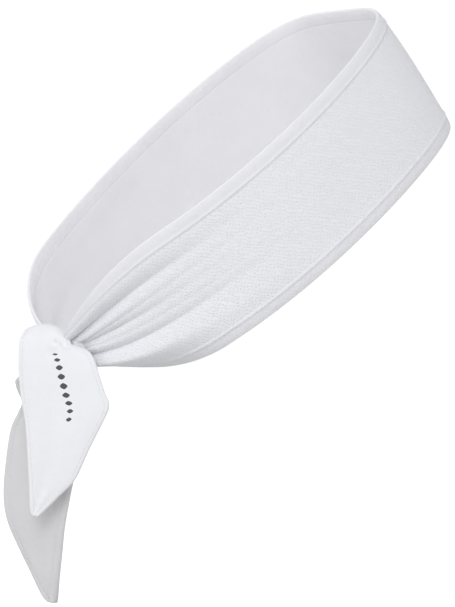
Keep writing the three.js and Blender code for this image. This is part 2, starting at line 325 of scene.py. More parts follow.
@dataclass
class HeadLoop:
    """The line along the middle of the band's cloth, in its own tilted plane.

    It runs from the knot by the right side, the forehead and the left side back to the knot. At the
    angle phi from the forehead it lies half the length times cos phi forward, and to the side by
    half the width times |sin phi| to a power, which makes the forehead's end squarer, narrowed
    towards the rear, plus a lean towards the knot that comes late.
    """

    length: float = 217 * MM
    width: float = 135 * MM
    tilt: float = math.radians(40.3)
    front_squareness: float = 0.49
    rear_pinch: float = 0.23
    knot_side_shift: float = 16 * MM
    shift_sharpness: float = 6
    square_end: float = 21 * MM
    samples: int = 6001
    along: Array = field(init=False)
    line: Array = field(init=False)

    def __post_init__(self) -> None:
        """Samples the line, closer together at the forehead, and measures the cloth along it."""
        turn = np.linspace(-1, 1, self.samples)
        phi = math.pi * turn * np.abs(turn)
        rear = (1 - np.cos(phi)) / 2
        widest = self.side_shape(np.linspace(0, math.pi, 181)).max()
        side = self.side_shape(phi) / widest
        forward = self.length / 2 * np.cos(phi)
        aside = self.width / 2 * side + self.knot_side_shift * rear**self.shift_sharpness
        self.line = np.stack([forward, aside], -1)
        steps = np.linalg.norm(np.diff(self.line, axis=0), axis=1)
        self.along = np.concatenate([[0], np.cumsum(steps)])

    def side_shape(self, phi: Array) -> Array:
        """How far out the side is at the angle phi, as a share."""
        rear = (1 - np.cos(phi)) / 2
        power = self.front_squareness + (1 - self.front_squareness) * rear
        return np.sign(phi) * np.abs(np.sin(phi)) ** power * (1 - self.rear_pinch * rear**2)

    @property
    def girth(self) -> float:
        """The length of cloth all the way round."""
        return float(self.along[-1])

    @property
    def axes(self) -> Array:
        """The loop's forward, left and upward directions, one a row."""
        c, s = math.cos(self.tilt), math.sin(self.tilt)
        return np.array([[c, 0, s], [0, 1, 0], [-s, 0, c]])

    def from_knot(self, cloth: Array) -> Array:
        """The length of cloth to the nearer end of the loop."""
        return np.minimum(cloth, self.girth - cloth)

    def place(self, cloth: Array) -> Array:
        """The line's forward and left places at each length of cloth."""
        return np.stack([np.interp(cloth, self.along, self.line[:, k]) for k in range(2)], -1)

    def outward(self, cloth: Array) -> Array:
        """The direction out of the loop, square to it but straight back beside the knot."""
        step = 1 * MM
        run = unit(self.place(cloth + step) - self.place(cloth - step))
        square = np.stack([run[..., 1], -run[..., 0]], -1)
        share = ease(self.from_knot(cloth) / self.square_end)[..., None]
        return unit(square * share + np.array([-1, 0]) * (1 - share))

    def in_space(self, cloth: Array, out: Array, up: Array) -> Array:
        """The points at these lengths of cloth, distances outwards and heights off the plane."""
        forward, left, above = self.axes
        flat = self.place(cloth) + self.outward(cloth) * out[..., None]
        return flat[..., :1] * forward + flat[..., 1:] * left + up[..., None] * above


# --------------------------------------------------------------------------------------- the band


@dataclass(frozen=True)
class EdgeOpening:
    """How an edge rises from the knot: start + (full - start) (1 - (1 - distance / reach)^power)."""

    start: float
    reach: float
    power: float

    def height(self, distance: Array, full: float) -> Array:
        """The edge's height above the middle of the band at a distance from the knot."""
        x = np.clip(distance / self.reach, 0, 1)
        return self.start + (full - self.start) * (1 - (1 - x) ** self.power)


@dataclass(frozen=True)
class Crease:
    """A furrow that runs out of the knot along the band and fades.

    Its depth falls as e to the power -(distance / reach)^2, and to both sides as e to the power -x,
    rounded off at the bottom, where x is how many widths a point lies from its line.
    """

    share: float
    depth: float
    reach: float
    width: float
    drift: float = 0.0
    spread: float = 0.6
    softness: float = 0.25

    def depth_at(self, distance: Array, across: Array) -> Array:
        """How deep the furrow is at a distance from the knot and a share across the band."""
        gone = distance / self.reach
        line = self.share + self.drift * gone
        x = (across - line) / (self.width * (1 + self.spread * gone))
        rounded = np.sqrt(x**2 + self.softness**2) - self.softness
        return self.depth * hump(gone) * np.exp(-rounded)


@dataclass(frozen=True)
class GatheredEnd:
    """One end of the band on its way into the knot."""

    upper: EdgeOpening
    lower: EdgeOpening
    creases: tuple[Crease, ...]
    roll_depth: float
    roll_share: float = -0.5
    roll_reach: float = 80 * MM
    roll_hold: float = 0.35
    roll_power: float = 1.15
    swell: float = 2.4 * MM
    swell_reach: float = 50 * MM
    billow: float = 0.0
    billow_place: float = 18 * MM
    billow_spread: float = 13 * MM
    furrow_start: float = 4 * MM
    furrow_rise: float = 18 * MM

    def roll(self, distance: Array, across: Array) -> Array:
        """How far the lower part is turned inwards, more and more towards its edge."""
        past = np.clip((self.roll_share - across) / (1 + self.roll_share), 0, None)
        gone = (distance / self.roll_reach - self.roll_hold) / (1 - self.roll_hold)
        return self.roll_depth * past**self.roll_power * (1 - ease(gone))

    def lift(self, distance: Array, across: Array) -> Array:
        """How far the cloth stands out: the swell of the bunch and a billow, less the creases and
        the lower part's roll inwards."""
        swell = self.swell * hump(distance / self.swell_reach) * (1 - 0.5 * across**2)
        billow = self.billow * hump((distance - self.billow_place) / self.billow_spread)
        furrows = sum(crease.depth_at(distance, across) for crease in self.creases)
        furrows = furrows * ease((distance + self.furrow_start) / self.furrow_rise)
        return swell + billow - furrows - self.roll(distance, across)


@dataclass
class Band:
    """The two cloths of the band, the strips over its edges and their stitching.

    The strip's section lies between strip_inner and strip_outer, off the middle of the cloth. It
    thins by rim_thinning at the fold, and its ends drop onto the two cloths.
    """

    loop: HeadLoop
    half_height: float = 32.75 * MM
    # the two cloths, off the middle of the band
    panel_middle: float = 0.65 * MM
    panel_thickness: float = 1.0 * MM
    lining_middle: float = -0.6 * MM
    lining_thickness: float = 0.8 * MM
    # the strips and their seam
    strip_width: float = 6.3 * MM
    strip_cut: float = 19 * MM
    ridge_place: float = 5.5 * MM
    ridge_width: float = 0.75 * MM
    ridge_height: float = 0.28 * MM
    rim_thinning: float = 0.42 * MM
    tuck: float = 0.42 * MM
    strip_outer: float = 1.24 * MM
    strip_inner: float = -1.06 * MM
    strip_thickness: float = 0.55 * MM
    bend_reach: float = 3 * MM
    outer_end_drop: float = 0.5 * MM
    inner_end_drop: float = 0.26 * MM
    least_ridge: float = 0.1
    ridge_from: float = 18 * MM
    ridge_over: float = 50 * MM
    stitches_from: float = 10 * MM
    stitch_inset: float = 6.26 * MM
    stitch_level: float = 1.2 * MM
    stitch: Stitch = Stitch(pitch=2.4 * MM, length=1.9 * MM, radius=0.13 * MM, arch=0.06 * MM)
    # the shape of the loop's cross-section, at the forehead and elsewhere
    into_knot: float = 2 * MM
    crown: float = 0.7 * MM
    front_spread: float = 75 * MM
    front_top_drop: float = 0.1 * MM
    front_bottom_drop: float = 4.0 * MM
    front_lean: float = 1.0 * MM
    front_inset: float = 2.0 * MM
    crowding: float = 0.72
    cloth_share: float = 0.96
    roll_reveal: float = 0.6
    near: float = 0.03
    # the slight waves
    wave: float = 0.18 * MM
    wave_at_knot: float = 0.1 * MM
    fine_wave: float = 0.16 * MM
    wave_reach: float = 110 * MM
    right: GatheredEnd = GatheredEnd(
        upper=EdgeOpening(3 * MM, 80 * MM, 2.0),
        lower=EdgeOpening(6 * MM, 74 * MM, 1.6),
        creases=(
            Crease(share=0.46, depth=6.0 * MM, reach=66 * MM, width=0.10, drift=0.04, spread=0.4),
            Crease(share=0.04, depth=5.6 * MM, reach=58 * MM, width=0.11, drift=0.04, spread=0.4),
            Crease(share=-0.32, depth=4.4 * MM, reach=72 * MM, width=0.09, drift=0.07, spread=0.4),
            Crease(share=0.27, depth=-1.6 * MM, reach=60 * MM, width=0.12, drift=0.04),
            Crease(share=-0.14, depth=-1.4 * MM, reach=60 * MM, width=0.10, drift=0.04),
            Crease(share=-0.50, depth=-1.8 * MM, reach=70 * MM, width=0.11, drift=-0.06),
            Crease(share=0.72, depth=-2.4 * MM, reach=64 * MM, width=0.17),
            Crease(share=0.20, depth=1.3 * MM, reach=80 * MM, width=0.05, drift=0.07),
            Crease(share=-0.12, depth=1.2 * MM, reach=84 * MM, width=0.05, drift=0.05),
        ),
        roll_depth=11 * MM,
    )
    left: GatheredEnd = GatheredEnd(
        upper=EdgeOpening(4 * MM, 56 * MM, 2.4),
        lower=EdgeOpening(6 * MM, 85 * MM, 1.6),
        creases=(
            Crease(share=0.3, depth=3.4 * MM, reach=28 * MM, width=0.13),
            Crease(share=-0.1, depth=5.0 * MM, reach=40 * MM, width=0.15),
            Crease(share=-0.45, depth=4.0 * MM, reach=48 * MM, width=0.12),
        ),
        roll_depth=6 * MM,
        billow=0.6 * MM,
    )

    def stations(self, count: int, start: float | None = None) -> Array:
        """Lengths of cloth round the band, closer together towards the knot."""
        start = self.into_knot if start is None else start
        even = np.linspace(0, 1, count)
        share = even - self.crowding * np.sin(2 * math.pi * even) / (2 * math.pi)
        return start + (self.loop.girth - 2 * start) * share

    def profile(self, cloth: Array, across: Array) -> tuple[Array, Array]:
        """The band's cross-section.

        Args:
            cloth: lengths of cloth round the band.
            across: places across it, from -1 at the lower edge to 1 at the upper one.

        Returns:
            How far out of the loop and how far above its plane each place is.
        """
        from_right, from_left = cloth, self.loop.girth - cloth
        top = np.minimum(
            self.right.upper.height(from_right, self.half_height),
            self.left.upper.height(from_left, self.half_height),
        )
        bottom = np.minimum(
            self.right.lower.height(from_right, self.half_height),
            self.left.lower.height(from_left, self.half_height),
        )
        rolled = self.right.roll(from_right, -1.0) + self.left.roll(from_left, -1.0)
        bottom = bottom + self.roll_reveal * rolled
        at_front = hump((cloth - self.loop.girth / 2) / self.front_spread)
        top = top - self.front_top_drop * at_front
        bottom = bottom + self.front_bottom_drop * at_front
        up = across * np.where(across > 0, top, bottom)
        open_share = ease(self.loop.from_knot(cloth) / self.right.upper.reach)
        crowned = self.crown * open_share * (1 - across**2)
        leaned = (self.front_lean * across - self.front_inset) * at_front
        out = self.right.lift(from_right, across) + self.left.lift(from_left, across) + crowned + leaned
        return out + self.ripples(cloth, across), up

    def ripples(self, cloth: Array, across: Array) -> Array:
        """Slight waves of cloth that isn't stretched: two long sines and two fine ones near the knot."""
        near = hump(self.loop.from_knot(cloth) / self.wave_reach)
        long = np.sin(cloth / (31 * MM) + 2.1 * across) + 0.6 * np.sin(cloth / (17 * MM) - 3.4 * across)
        fine = np.sin(9.5 * across + cloth / (45 * MM)) + 0.5 * np.sin(15 * across - cloth / (38 * MM))
        return (self.wave + self.wave_at_knot * near) * long + self.fine_wave * near * fine

    def surface(self, cloth: Array, across: Array, lift: Array) -> Array:
        """Points of the band, raised off the middle of its cloth.

        The raise follows the normal of the cross-section, taken from two places close by.

        Args:
            cloth: lengths of cloth round the band.
            across: places across it, from -1 to 1.
            lift: distances outwards from the middle of the cloth.

        Returns:
            The points in space.
        """
        cloth, across, lift = np.broadcast_arrays(cloth, across, lift)
        near = self.near
        out_above, up_above = self.profile(cloth, across + near)
        out_below, up_below = self.profile(cloth, across - near)
        out, up = self.profile(cloth, across)
        run_out, run_up = out_above - out_below, up_above - up_below
        size = np.hypot(run_out, run_up)
        return self.loop.in_space(cloth, out + lift * run_up / size, up - lift * run_out / size)

    def cloth_piece(
        self, name: str, middle: float, thickness: float, rows: int, columns: int
    ) -> bpy.types.Object:
        """One of the band's two cloths, from just inside one edge to just inside the other."""
        cloth = self.stations(rows)[:, None]
        across = np.linspace(-self.cloth_share, self.cloth_share, columns)[None]
        under_strip = ease((self.strip_width + 0.4 * MM - (1 - np.abs(across)) * self.half_height) / MM)
        level = middle - math.copysign(self.tuck, middle) * under_strip
        front = self.surface(cloth, across, level + thickness / 2)
        back = self.surface(cloth, across, level - thickness / 2)
        flat = np.stack(np.broadcast_arrays(cloth, across * self.half_height), -1)
        return two_sided(name, front, back, flat)

    def panel(self) -> bpy.types.Object:
        """The textured outer cloth."""
        return self.cloth_piece("band_mesh_cloth", self.panel_middle, self.panel_thickness, 340, 121)

    def lining(self) -> bpy.types.Object:
        """The smooth cloth inside the loop."""
        return self.cloth_piece("band_lining_cloth", self.lining_middle, self.lining_thickness, 340, 81)

    def seam_share(self, cloth: Array) -> Array:
        """How proud the seam ridge stands, fading where the band is bunched."""
        opened = ease((self.loop.from_knot(cloth) - self.ridge_from) / self.ridge_over)
        return self.least_ridge + (1 - self.least_ridge) * opened

    def strip_section(self) -> tuple[Array, Array, Array]:
        """The section of the strip folded over an edge, as a closed line.

        Returns:
            Distances in from the edge, distances outwards from the middle of the cloth, and how far
            the ridge raises each point where the seam pulls the strip down on the panel.
        """
        outer, inner, thickness = self.strip_outer, self.strip_inner, self.strip_thickness
        end = 0.9 * MM
        along = np.linspace(self.strip_width + end, 0, 40)
        thinned = self.rim_thinning * np.clip(1 - along / self.bend_reach, 0, 1) ** 2
        dropped = ease((along - self.strip_width - 0.1 * MM) / (0.7 * MM))
        outside = outer - thinned - self.outer_end_drop * dropped
        turn = np.linspace(math.pi / 2, -math.pi / 2, 9)[1:-1]
        middle, radius = (outer + inner) / 2, (outer - inner) / 2 - self.rim_thinning
        back = np.linspace(0, self.strip_width, 12)
        inside = inner + self.inner_end_drop * ease((back - self.strip_width + end) / end)
        inside = inside + self.rim_thinning * np.clip(1 - back / self.bend_reach, 0, 1) ** 2
        core = radius - thickness
        inset = np.concatenate(
            [along, -radius * np.cos(turn), back, back[::-1], -core * np.cos(turn[::-1]), along[::-1]]
        )
        raised = np.concatenate(
            [
                outside,
                middle + radius * np.sin(turn),
                inside,
                (inside + thickness)[::-1],
                middle + core * np.sin(turn[::-1]),
                (outer - thinned - thickness)[::-1],
            ]
        )
        ridge = np.zeros_like(inset)
        ridge[: len(along)] = self.ridge_height * hump((along - self.ridge_place) / self.ridge_width)
        return inset + radius, raised, ridge

    def strip(self, side: Side) -> bpy.types.Object:
        """The strip of cloth folded over one edge."""
        inset, raised, ridge = self.strip_section()
        cloth = self.stations(340)[:, None]
        across = side.value * (1 - inset / self.half_height)[None]
        sections = self.surface(cloth, across, raised[None] + ridge[None] * self.seam_share(cloth))
        around = np.concatenate([[0], np.cumsum(np.hypot(np.diff(inset), np.diff(raised)))])
        flat = np.stack(np.broadcast_arrays(cloth, around[None]), -1)
        return swept(f"{side.name.lower()}_edge_strip", sections, flat)

    def strip_stitches(self, side: Side) -> bpy.types.Object:
        """The row of stitches on a strip's ridge."""
        cloth = self.stations(1600, self.stitches_from)
        across = np.array(side.value * (1 - self.stitch_inset / self.half_height))
        lift = self.stitch_level + self.ridge_height * self.seam_share(cloth)
        low = self.surface(cloth, across, lift)
        high = self.surface(cloth, across, lift + 1 * MM)
        return self.stitch.row(f"{side.name.lower()}_edge_stitches", low, unit(high - low))


# --------------------------------------------------------------------------------------- the knot


@dataclass
class Knot:
    """The turn of cloth at the nape and the bunched ends that it grips."""

    loop: HeadLoop
    centre: Array
    turn_radius: float = 4.6 * MM
    turn_thickness: float = 2.3 * MM
    turn_half_width: float = 5.2 * MM
    turn_lean: float = math.radians(14)
    turn_reach: float = 8 * MM
    turn_fold: float = 0.13
    bunch_radius: float = 5.3 * MM
    bunch_half_length: float = 14 * MM
    bunch_waist: float = 0.86
    bunch_fold: float = 0.09
    bunch_folds: int = 9
    seam_place: float = 6.4 * MM
    seam_depth: float = 0.94
    seam_height: float = 0.7 * MM
    seam_width: float = 0.55 * MM
    seam_waver: float = 0.35 * MM

    def point(self, along: Array, radius: Array, angle: Array) -> Array:
        """A place round the band's run through the knot: left along it, out from it, and turned
        from straight back towards straight up."""
        forward, left, above = self.loop.axes
        round_it = -np.cos(angle)[..., None] * forward + np.sin(angle)[..., None] * above
        return self.centre + along[..., None] * left + radius[..., None] * round_it

    def turn(self) -> bpy.types.Object:
        """The outer turn: a ring of cloth with a lens-shaped section, which leans a little.

        Folds run round its outer half, as a cosine of the place across the ring, and the ring
        widens where the tails leave it.
        """
        angle = np.linspace(0, 2 * math.pi, 121)[:-1, None]
        across = np.linspace(0, 2 * math.pi, 61)[None, :-1]
        wide = self.turn_half_width * (1 + 0.16 * np.cos(angle - 0.6) + 0.08 * np.sin(3 * angle))
        folds = 1 + self.turn_fold * np.cos(7 * across + 1.5 * np.sin(angle)) * (np.cos(across) > 0)
        radius = self.turn_radius + self.turn_thickness * np.cos(across) * folds
        along = wide * np.sin(across) + self.turn_lean * self.turn_radius * np.sin(angle - 0.8)
        radius, along, turned = np.broadcast_arrays(radius, along, angle)
        points = self.point(along, radius, turned)
        return ring("knot_turn", points, np.stack([turned * self.turn_reach, along], -1))

    def bunch(self) -> bpy.types.Object:
        """The cloth inside the turn: a round bundle with lengthwise folds, narrow at its waist."""
        along = np.linspace(-1, 1, 41)[:, None]
        angle = np.linspace(0, 2 * math.pi, 109)[None, :-1]
        waist = self.bunch_waist + (1 - self.bunch_waist) * along**2
        closing = np.sqrt(np.clip(1 - along**8, 0, 1))
        folds = 1 + self.bunch_fold * np.cos(self.bunch_folds * angle + 1.2 * along)
        radius = self.bunch_radius * waist * closing * folds
        radius, along, angle = np.broadcast_arrays(radius, along, angle)
        points = self.point(along * self.bunch_half_length, radius, angle)
        flat = np.stack([along * self.bunch_half_length, angle * self.bunch_radius], -1)
        return swept("knot_bunch", points, flat)

    def join_seam(self, name: str, side: int) -> bpy.types.Object:
        """The turned seam at one end of the band: a ridge round the bunch, inside the knot's mouth.

        Args:
            name: the piece's name.
            side: -1 for the right end of the band and 1 for the left one.

        Returns:
            The new object.
        """
        angle = np.linspace(0, 2 * math.pi, 73)[:-1, None]
        across = np.linspace(0, 2 * math.pi, 13)[None, :-1]
        radius = self.bunch_radius * self.seam_depth + self.seam_height * np.cos(across) + 0 * angle
        along = self.seam_width * np.sin(across) + self.seam_waver * np.sin(2 * angle)
        along = side * self.seam_place + along
        radius, along, turned = np.broadcast_arrays(radius, along, angle)
        points = self.point(along, radius, turned)
        return ring(name, points, np.stack([turned * self.bunch_radius, along], -1))


# -------------------------------------------------------------------------------------- the tails


@dataclass
class Tail:
    """One hanging end: two cloths sewn together round the edge.

    Its rows run from where it leaves the knot to its tip. A row has its left and right end, each as
    millimetres across, out from the knot and up from its middle, and how far the cloth between
    them rises above the straight line from one to the other. A wave has its height in millimetres,
    its turns across and along the tail and its phase. A dent has its place across and up, its depth
    and its radius, all in millimetres.
    """

    name: str
    centre: Array
    facing: float
    rows: tuple[tuple[float, ...], ...]
    waves: tuple[tuple[float, float, float, float], ...]
    thickness: float = 0.8 * MM
    hem_width: float = 3.4 * MM
    seam_dip: float = 0.3 * MM
    dents: tuple[tuple[float, float, float, float], ...] = ()
    edge_turn: float = 1.2 * MM
    rounding: float = 1.2 * MM
    puff: float = 0.35 * MM
    gap: float = 0.02 * MM
    edge_thickness: float = 0.09 * MM
    turn_allowance: float = 1.08
    hem_from: float = 0.14
    hem_to: float = 0.955
    near: float = 0.004
    stitch: Stitch = Stitch(pitch=2.2 * MM, length=1.8 * MM, radius=0.11 * MM, arch=0.05 * MM)
    row_count: int = 240
    column_count: int = 81

    def directions(self) -> Array:
        """The tail's across, outward and upward directions, one a row."""
        c, s = math.cos(self.facing), math.sin(self.facing)
        return np.array([[c, s, 0], [s, -c, 0], [0, 0, 1]])

    def middle(self, along: Array, across: Array) -> Array:
        """The sheet half-way between the two cloths, at shares along and across the tail.

        Between a row's ends the cloth follows a straight line, raised by its rise times 4x(1 - x),
        with its edges turned inwards as the sixth power of the distance from the middle, and with
        soft waves, each a sine across and along the tail.
        """
        rows = smooth_rows(np.array(self.rows) * MM, self.row_count)
        place = along * (self.row_count - 1)
        numbers = np.stack(
            [np.interp(place, np.arange(self.row_count), rows[:, k]) for k in range(7)], -1
        )
        left, right, rise = numbers[..., :3], numbers[..., 3:6], numbers[..., 6]
        share = (across + 1) / 2
        local = left + (right - left) * share[..., None]
        local[..., 2] += rise * 4 * share * (1 - share)
        local[..., 1] -= self.edge_turn * across**6
        for size, turns_across, turns_along, phase in self.waves:
            wave = np.sin(2 * math.pi * (turns_across * share + turns_along * along) + phase)
            local[..., 1] += size * MM * wave * ease(along / 0.25)
        for place_across, up, depth, radius in self.dents:
            reach = np.hypot(local[..., 0] - place_across * MM, local[..., 2] - up * MM) / (radius * MM)
            local[..., 1] -= depth * MM * hump(reach)
        return self.centre + local @ self.directions()

    def surface(self, along: Array, across: Array, lift: Array) -> Array:
        """Points raised off the middle sheet along its normal, which comes from near places."""
        along, across, lift = np.broadcast_arrays(along, across, lift)
        near = self.near
        down = self.middle(along + near, across) - self.middle(along - near, across)
        over = self.middle(along, across + near) - self.middle(along, across - near)
        normal = unit(np.cross(over, -down))
        return self.middle(along, across) + lift[..., None] * normal

    def size_at(self, along: Array) -> Array:
        """The tail's width at each share along it."""
        low = self.middle(along, np.full_like(along, -1.0))
        high = self.middle(along, np.full_like(along, 1.0))
        return np.linalg.norm(high - low, axis=-1)

    @property
    def length(self) -> float:
        """How far the tail hangs, from its first row to its tip."""
        return abs(self.rows[0][2] - self.rows[-1][2]) * MM

    def cut(self) -> tuple[tuple[float, float], float]:
        """The flat cloth's width, its length with what the turn at the knot takes, and its area."""
        rows = np.array(self.rows) * MM
        sides, heights = rows[:, [0, 3]], rows[:, [2, 5]]
        widths = np.hypot(sides[:, 1] - sides[:, 0], heights[:, 1] - heights[:, 0])
        steps = np.abs(np.diff(heights.mean(axis=1)))
        area = float(((widths[1:] + widths[:-1]) / 2 * steps).sum())
        width = sides[:, 1].max() - sides[:, 0].min()
        return (width, (heights.max() - heights.min()) * self.turn_allowance), area

    def flat_map(self, along: Array, across: Array) -> Array:
        """Where each place lies on the flat cloth."""
        width = self.size_at(along)
        return np.stack(np.broadcast_arrays(along * self.length, across * width / 2), -1)

    def cloth(self, piece_name: str, face: int) -> bpy.types.Object:
        """One of the two cloths, the outer one where face is 1 and the inner one where it is -1.

        It lies half its thickness off the middle sheet, puffs out a little between the hems, dips
        at the hem's stitching, and thins to a round edge where the two meet.
        """
        along = np.linspace(0.0, 1.0, self.row_count)[:, None]
        bend = np.linspace(-1, 1, self.column_count)[None]
        across = np.sin(bend * math.pi / 2) * 0.35 + bend * 0.65
        width = self.size_at(along)
        inset = (1 - np.abs(across)) * width / 2
        end = ease(np.minimum(along, 1 - along) / 0.012)
        edge = np.sqrt(np.clip(inset / self.rounding, 0, 1)) * (0.25 + 0.75 * end)
        puff = self.puff * ease((inset - self.hem_width) / (4 * MM))
        dip = self.seam_dip * hump((inset - self.hem_width) / (0.7 * MM))
        outer = (self.thickness + puff - dip) * edge + self.edge_thickness
        inner = np.full_like(outer, self.gap)
        front = self.surface(along, across, face * outer)
        back = self.surface(along, across, face * inner)
        return two_sided(piece_name, front, back, self.flat_map(along, across))

    def hem_path(self, lift: float) -> Array:
        """The line of the hem's stitching: down the left side, round the tip, up the right side."""
        along = np.linspace(self.hem_from, self.hem_to, 400)
        width = self.size_at(along)
        across = 1 - 2 * self.hem_width / np.maximum(width, 2.2 * self.hem_width)
        there = self.surface(along, -across, np.full_like(along, lift))
        back = self.surface(along[::-1], across[::-1], np.full_like(along, lift))
        return np.concatenate([there, back])

    def hem_stitches(self) -> bpy.types.Object:
        """The hem's row of stitches on the outer cloth."""
        level = self.thickness - self.seam_dip + self.edge_thickness
        low, high = self.hem_path(level), self.hem_path(level + 1 * MM)
        return self.stitch.row(f"{self.name}_stitches", low, unit(high - low))


@dataclass
class PrintedMark:
    """A plain row of small printed lozenges down the front tail."""

    tail: Tail
    count: int = 9
    first: float = 0.355
    last: float = 0.645
    place_across: float = 0.09
    lean: float = 0.06
    half_length: float = 1.0 * MM
    half_width: float = 2.1 * MM
    ink_height: float = 0.08 * MM
    cloth_top: float = 1.17 * MM
    roundness: float = 1.4

    def build(self) -> bpy.types.Object:
        """Each lozenge is a flat rounded plate: |x|^p + |y|^p is at most 1 inside its outline, where
        p is its roundness."""
        share = np.linspace(0, 1, self.count)
        angle = np.linspace(0, 2 * math.pi, 24, endpoint=False)
        ring = np.array([0.0, 0.5, 0.92, 1.0, 1.0, 0.0])
        height = np.array([1.0, 1.0, 1.0, 0.6, -0.5, -0.5]) * self.ink_height
        power = self.roundness
        size = (np.abs(np.cos(angle)) ** power + np.abs(np.sin(angle)) ** power) ** (-1 / power)
        x = ring[:, None] * size * np.cos(angle)
        y = ring[:, None] * size * np.sin(angle)
        along = self.first + (self.last - self.first) * share
        width = self.tail.size_at(along)[:, None, None]
        length = self.tail.length
        middle = self.place_across + self.lean * (share - 0.5)
        grown = (0.72 + 0.28 * np.sin(math.pi * share))[:, None, None]
        across = middle[:, None, None] + x * grown * self.half_width * 2 / width
        down = along[:, None, None] + y * grown * self.half_length / length
        lift = self.cloth_top + height[:, None] + 0 * x
        points = self.tail.surface(down, across, np.broadcast_to(lift, across.shape))
        quads = grid_quads(len(ring), len(angle), round_it=True)
        every = (quads + np.arange(self.count)[:, None, None] * x.size).reshape(-1, 4)
        flat = np.stack(np.broadcast_arrays(down * length, across * width), -1)
        piece = make_piece("front_tail_mark_dots", points.reshape(-1, 3), every, flat.reshape(-1, 2))
        merge_doubles(piece)
        return piece


# ----------------------------------------------------------------------------------- the finishes


class Value:
    """A node's output socket that takes part in arithmetic: each operator adds a Math node."""

    def __init__(self, nodes: "Nodes", socket: bpy.types.NodeSocket) -> None:
        """Wraps a socket of a node tree."""
        self.nodes = nodes
        self.socket = socket

    def math(self, operation: str, *others: "Value | float") -> "Value":
        """A Math node with this value first and the others after it."""
        return self.nodes.node("ShaderNodeMath", {"operation": operation}, [self, *others])

    def wave(self, pitch: float) -> "Value":
        """A sine of this value that repeats once in a pitch, from 0 to 1."""
        return (self * (2 * math.pi / pitch)).math("SINE") * 0.5 + 0.5

    def held(self) -> "Value":
        """This value, held between 0 and 1."""
        return self.math("MAXIMUM", 0.0).math("MINIMUM", 1.0)

    def __add__(self, other: "Value | float") -> "Value":
        """self + other."""
        return self.math("ADD", other)

    def __mul__(self, other: "Value | float") -> "Value":
        """self * other."""
        return self.math("MULTIPLY", other)

    def __sub__(self, other: "Value | float") -> "Value":
        """self - other."""
        return self.math("SUBTRACT", other)

    def __rsub__(self, other: float) -> "Value":
        """other - self."""
        return self.nodes.node("ShaderNodeMath", {"operation": "SUBTRACT"}, [other, self])

    def __truediv__(self, other: "Value | float") -> "Value":
        """self / other."""
        return self.math("DIVIDE", other)

    __radd__ = __add__
    __rmul__ = __mul__


class Nodes:
    """A node tree that grows by one node for each step of its maths."""

    def __init__(self, tree: bpy.types.NodeTree) -> None:
        """Takes the tree that the nodes are added to."""
        self.tree = tree

    def node(self, kind: str, settings: dict, inputs: dict | list, output: int | str = 0) -> Value:
        """Adds a node.

        Args:
            kind: the node's type.
            settings: its own settings, set before its sockets.
            inputs: values or links of its sockets, by name or in order.
            output: the output to return.

        Returns:
            That output as a value.
        """
        made = self.tree.nodes.new(kind)
        for key, value in settings.items():
            setattr(made, key, value)
        pairs = inputs.items() if isinstance(inputs, dict) else enumerate(inputs)
        for key, value in pairs:
            self.feed(made.inputs[key], value)
        return Value(self, made.outputs[output])

    def feed(self, socket: bpy.types.NodeSocket, value: "Value | float | tuple") -> None:
        """Links a value to a socket, or sets the socket's own number or colour."""
        if isinstance(value, Value):
            self.tree.links.new(value.socket, socket)
        else:
            socket.default_value = value

    def mix(self, share: Value, low: tuple, high: tuple) -> Value:
        """A colour between two, by a share from 0 to 1."""
        return self.node(
            "ShaderNodeMix", {"data_type": "RGBA"}, {"Factor": share, 6: low, 7: high}, output=2
        )


class Shader(Nodes):
    """A material's node tree, with its Principled shader."""

    def __init__(self, name: str) -> None:
        """Starts a material with a Principled shader and its output."""
        self.material = bpy.data.materials.new(name)
        self.material.use_nodes = True
        super().__init__(self.material.node_tree)
        self.principled = next(n for n in self.tree.nodes if n.type == "BSDF_PRINCIPLED")

    def set(self, inputs: dict[str, Value | float | tuple]) -> None:
        """Links or sets inputs of the Principled shader by name."""
        for name, value in inputs.items():
            self.feed(self.principled.inputs[name], value)

    def flat_cloth(self) -> tuple[Value, Value]:
        """The place on the flat cloth, along and across, in millimetres."""
        place = self.node("ShaderNodeUVMap", {"uv_map": UV_NAME}, {})
        along, across = (self.node("ShaderNodeSeparateXYZ", {}, [place], output=k) for k in (0, 1))
        return along * 1000.0, across * 1000.0

    def noise(self, scale: float, detail: float = 2.0) -> Value:
        """Smooth noise over the object's own space, about 0.5 on average."""
        place = self.node("ShaderNodeTexCoord", {}, {}, output="Object")
        return self.node(
            "ShaderNodeTexNoise", {}, {"Vector": place, "Scale": scale, "Detail": detail}
        )

    def finish(
        self, colour: Value, roughness: Value, height: Value, distance: float, sheen: float
    ) -> bpy.types.Material:
        """Feeds the Principled shader and returns the material.

        Args:
            colour: the base colour.
            roughness: the roughness.
            height: the relief, from 0 to 1.
            distance: how deep a relief of 1 is, in metres.
            sheen: the weight of the fuzz that catches light at grazing angles.
        """
        normal = self.node("ShaderNodeBump", {}, {"Height": height, "Distance": distance})
        self.set({"Base Color": colour, "Roughness": roughness, "Normal": normal})
        self.set({"Sheen Weight": sheen, "Sheen Roughness": 0.5, "Specular IOR Level": 0.25})
        return self.material


Colour = tuple[float, float, float, float]


